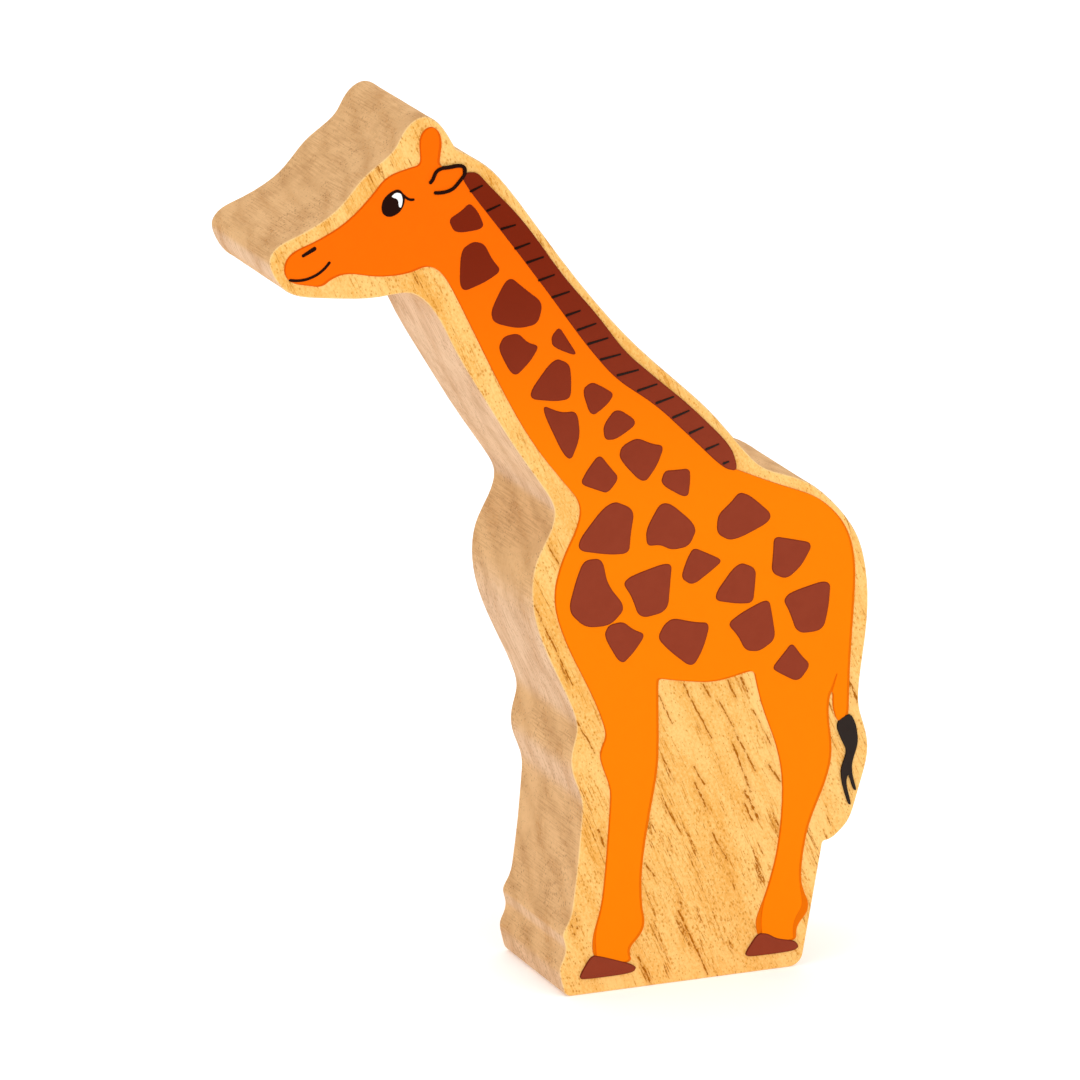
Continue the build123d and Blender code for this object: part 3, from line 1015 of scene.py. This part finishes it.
@dataclass
class PaintFilm:
    """One coat of paint on one flank, or all of its marks of one colour."""

    flank: Flank
    part: str
    slot: Slot
    body: str = "root"
    rounding: float = 0.03 * MM
    rim_width: float = 0.14 * MM
    flat_degrees: float = 0.4
    smooth_degrees: float = 50.0

    @property
    def node(self) -> str:
        """The CAD node that the film stands for."""
        return f"{self.flank.name.lower()}_{self.part}"

    def faces_out(self, face: bmesh.types.BMFace) -> bool:
        """Whether a face is the film's outer surface."""
        return face.normal.y * self.flank.value > 0.99

    def merge_caps(self) -> None:
        """Join the triangles of each flat surface into one face, on the film in edit mode."""
        bpy.ops.mesh.select_all(action="SELECT")
        bpy.ops.mesh.dissolve_limited(angle_limit=math.radians(self.flat_degrees))

    def round_edge(self, piece: bpy.types.Object) -> None:
        """Round the film's outer edge, where surface tension draws wet paint in.

        Args:
            piece: The film, in edit mode.
        """

        def outer(edge: bmesh.types.BMEdge) -> bool:
            """Whether an edge parts the outer surface from the film's side."""
            out = [self.faces_out(face) for face in edge.link_faces]
            return any(out) and not all(out)

        select_edges(piece, outer)
        bpy.ops.mesh.bevel(offset=self.rounding, segments=2, profile=0.5, clamp_overlap=True)

    def mark_rim(self, piece: bpy.types.Object) -> None:
        """Inset the outer surface of a brown film, and mark what lies outside the outer surface, or outside its
        inset, as the rim.

        Args:
            piece: The film, in edit mode.
        """
        select_faces(piece, self.faces_out)
        if self.slot is Slot.BROWN:
            bpy.ops.mesh.inset(thickness=self.rim_width, use_even_offset=True)
        work_on(piece, "OBJECT")
        rim = piece.data.attributes.new(RIM, "FLOAT", "POINT")
        share = [1.0] * len(piece.data.vertices)
        for polygon in piece.data.polygons:
            if polygon.select:
                for index in polygon.vertices:
                    share[index] = 0.0
        rim.data.foreach_set("value", share)

    def build(self, finish: bpy.types.Material) -> bpy.types.Object:
        """Make the film and dress it.

        Args:
            finish: Its paint.

        Returns:
            The finished film.
        """
        piece = copy_of_node(self.node, f"{self.node}_paint")
        self.merge_caps()
        self.round_edge(piece)
        self.mark_rim(piece)
        smooth(piece, self.smooth_degrees)
        piece.data.materials.append(finish)
        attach(piece, self.body)
        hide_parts(self.node)
        return piece


@dataclass
class PrintedFlank:
    """All the films on one flank."""

    flank: Flank
    paints: dict[Slot, bpy.types.Material]

    PARTS: ClassVar[dict[str, Slot]] = {
        "orange_undercoat": Slot.UNDERCOAT,
        "orange_topcoat": Slot.TOPCOAT,
        "mane": Slot.BROWN,
        "neck_patches": Slot.BROWN,
        "body_patches": Slot.BROWN,
        "fore_hoof": Slot.BROWN,
        "hind_hoof": Slot.BROWN,
        "mane_strokes": Slot.BLACK,
        "ear_outline": Slot.BLACK,
        "eye": Slot.BLACK,
        "eye_glint": Slot.WHITE,
        "nostril": Slot.BLACK,
        "mouth": Slot.BLACK,
        "tail_tuft": Slot.BLACK,
    }

    def build(self) -> list[bpy.types.Object]:
        """Make every film on the flank.

        Returns:
            The films, from the wood outwards.
        """
        return [PaintFilm(self.flank, part, slot).build(self.paints[slot]) for part, slot in self.PARTS.items()]


def mix_paints() -> dict[Slot, bpy.types.Material]:
    """Mix the five paints.

    Returns:
        Each slot's paint.
    """
    finishes = {
        Slot.UNDERCOAT: Paint("deep_orange", srgb(232, 112, 0), srgb(230, 94, 0), srgb(206, 98, 0)),
        Slot.TOPCOAT: Paint("orange", srgb(255, 129, 0), srgb(255, 107, 0), srgb(250, 118, 0)),
        Slot.BROWN: Paint("brown", srgb(144, 60, 38), srgb(121, 34, 10), srgb(110, 36, 18)),
        Slot.BLACK: Paint("black", srgb(48, 40, 36), srgb(36, 12, 6), srgb(30, 10, 6)),
        Slot.WHITE: Paint("white", srgb(252, 252, 250), srgb(252, 252, 250), srgb(232, 226, 216)),
    }
    return {slot: paint.material() for slot, paint in finishes.items()}


# ---------------------------------------------------------------- studio


@dataclass(frozen=True)
class Softbox:
    """One large square lamp that faces the figure."""

    name: str
    place: tuple[float, float, float]
    side: float
    power: float

    def build(self, aim: Vector) -> bpy.types.Object:
        """Hang the lamp.

        Args:
            aim: The point that it faces.

        Returns:
            The lamp.
        """
        light = bpy.data.lights.new(self.name, "AREA")
        light.shape = "SQUARE"
        light.size = self.side
        light.energy = self.power
        lamp = bpy.data.objects.new(self.name, light)
        lamp.location = self.place
        lamp.rotation_euler = (aim - Vector(self.place)).to_track_quat("-Z", "Y").to_euler()
        bpy.context.scene.collection.objects.link(lamp)
        return lamp


@dataclass
class Studio:
    """A pale floor, soft light from all round, and a long lens at the left of the figure."""

    camera_place: tuple[float, float, float] = (-0.5868, -1.3752, 0.5084)
    azimuth_degrees: float = -22.42
    elevation_degrees: float = 16.39
    lens_mm: float = 333.33
    sensor_mm: float = 36.0
    floor_side: float = 12.0
    ambient: float = 0.62
    floor_glow: float = 0.25
    softboxes: tuple[Softbox, ...] = (
        Softbox("key", (0.7, -1.6, 1.3), 1.4, 11.0),
        Softbox("fill", (-1.7, -0.5, 0.7), 1.6, 4.2),
        Softbox("top", (-0.5, 0.1, 1.9), 1.4, 7.0),
        Softbox("rear", (0.6, 1.6, 1.3), 1.6, 8.0),
    )

    def floor(self) -> None:
        """Lay the floor, with its far edges past the horizon of every view."""
        bpy.ops.object.select_all(action="DESELECT")
        bpy.ops.mesh.primitive_plane_add(size=self.floor_side, location=(0, 0, CAD_BOX[0].z))
        ground = bpy.context.object
        ground.name = "floor"
        white = (1.0, 1.0, 1.0, 1.0)
        inputs = {"Base Color": white, "Roughness": 0.9, "Specular IOR Level": 0.0}
        inputs |= {"Emission Color": white, "Emission Strength": self.floor_glow}
        ground.data.materials.append(Graph("pale_floor").surface(inputs))

    def light(self) -> None:
        """Light the figure evenly from the sky and the softboxes."""
        world = bpy.data.worlds.new("studio")
        world.use_nodes = True
        background = world.node_tree.nodes["Background"]
        background.inputs["Color"].default_value = (1.0, 1.0, 1.0, 1.0)
        background.inputs["Strength"].default_value = self.ambient
        bpy.context.scene.world = world
        aim = (CAD_BOX[0] + CAD_BOX[1]) / 2
        for softbox in self.softboxes:
            softbox.build(aim)

    def camera(self) -> None:
        """Set up the camera, level, at its measured place."""
        lens = bpy.data.cameras.new("camera")
        lens.lens = self.lens_mm
        lens.sensor_width = self.sensor_mm
        lens.clip_start = 0.05
        lens.clip_end = 50.0
        camera = bpy.data.objects.new("camera", lens)
        camera.location = self.camera_place
        pitch = math.radians(90.0 - self.elevation_degrees)
        camera.rotation_euler = (pitch, 0.0, math.radians(self.azimuth_degrees))
        bpy.context.scene.collection.objects.link(camera)
        bpy.context.scene.camera = camera

    def build(self) -> None:
        """Set up everything round the figure."""
        self.floor()
        self.light()
        self.camera()
        bpy.context.scene.view_settings.view_transform = "Standard"


def report(piece: bpy.types.Object) -> None:
    """Log a finished piece and its size."""
    sides = [round(side / MM, 2) for side in piece.dimensions]
    LOG.info("%s: %d faces, %s mm", piece.name, len(piece.data.polygons), sides)


def main() -> None:
    """Build the figure and the studio, in order."""
    logging.basicConfig(level=logging.INFO, format="%(name)s %(message)s")
    Studio().build()
    report(WoodBlock().build())
    paints = mix_paints()
    for flank in Flank:
        for film in PrintedFlank(flank, paints).build():
            report(film)


if __name__ == "__main__":
    main()
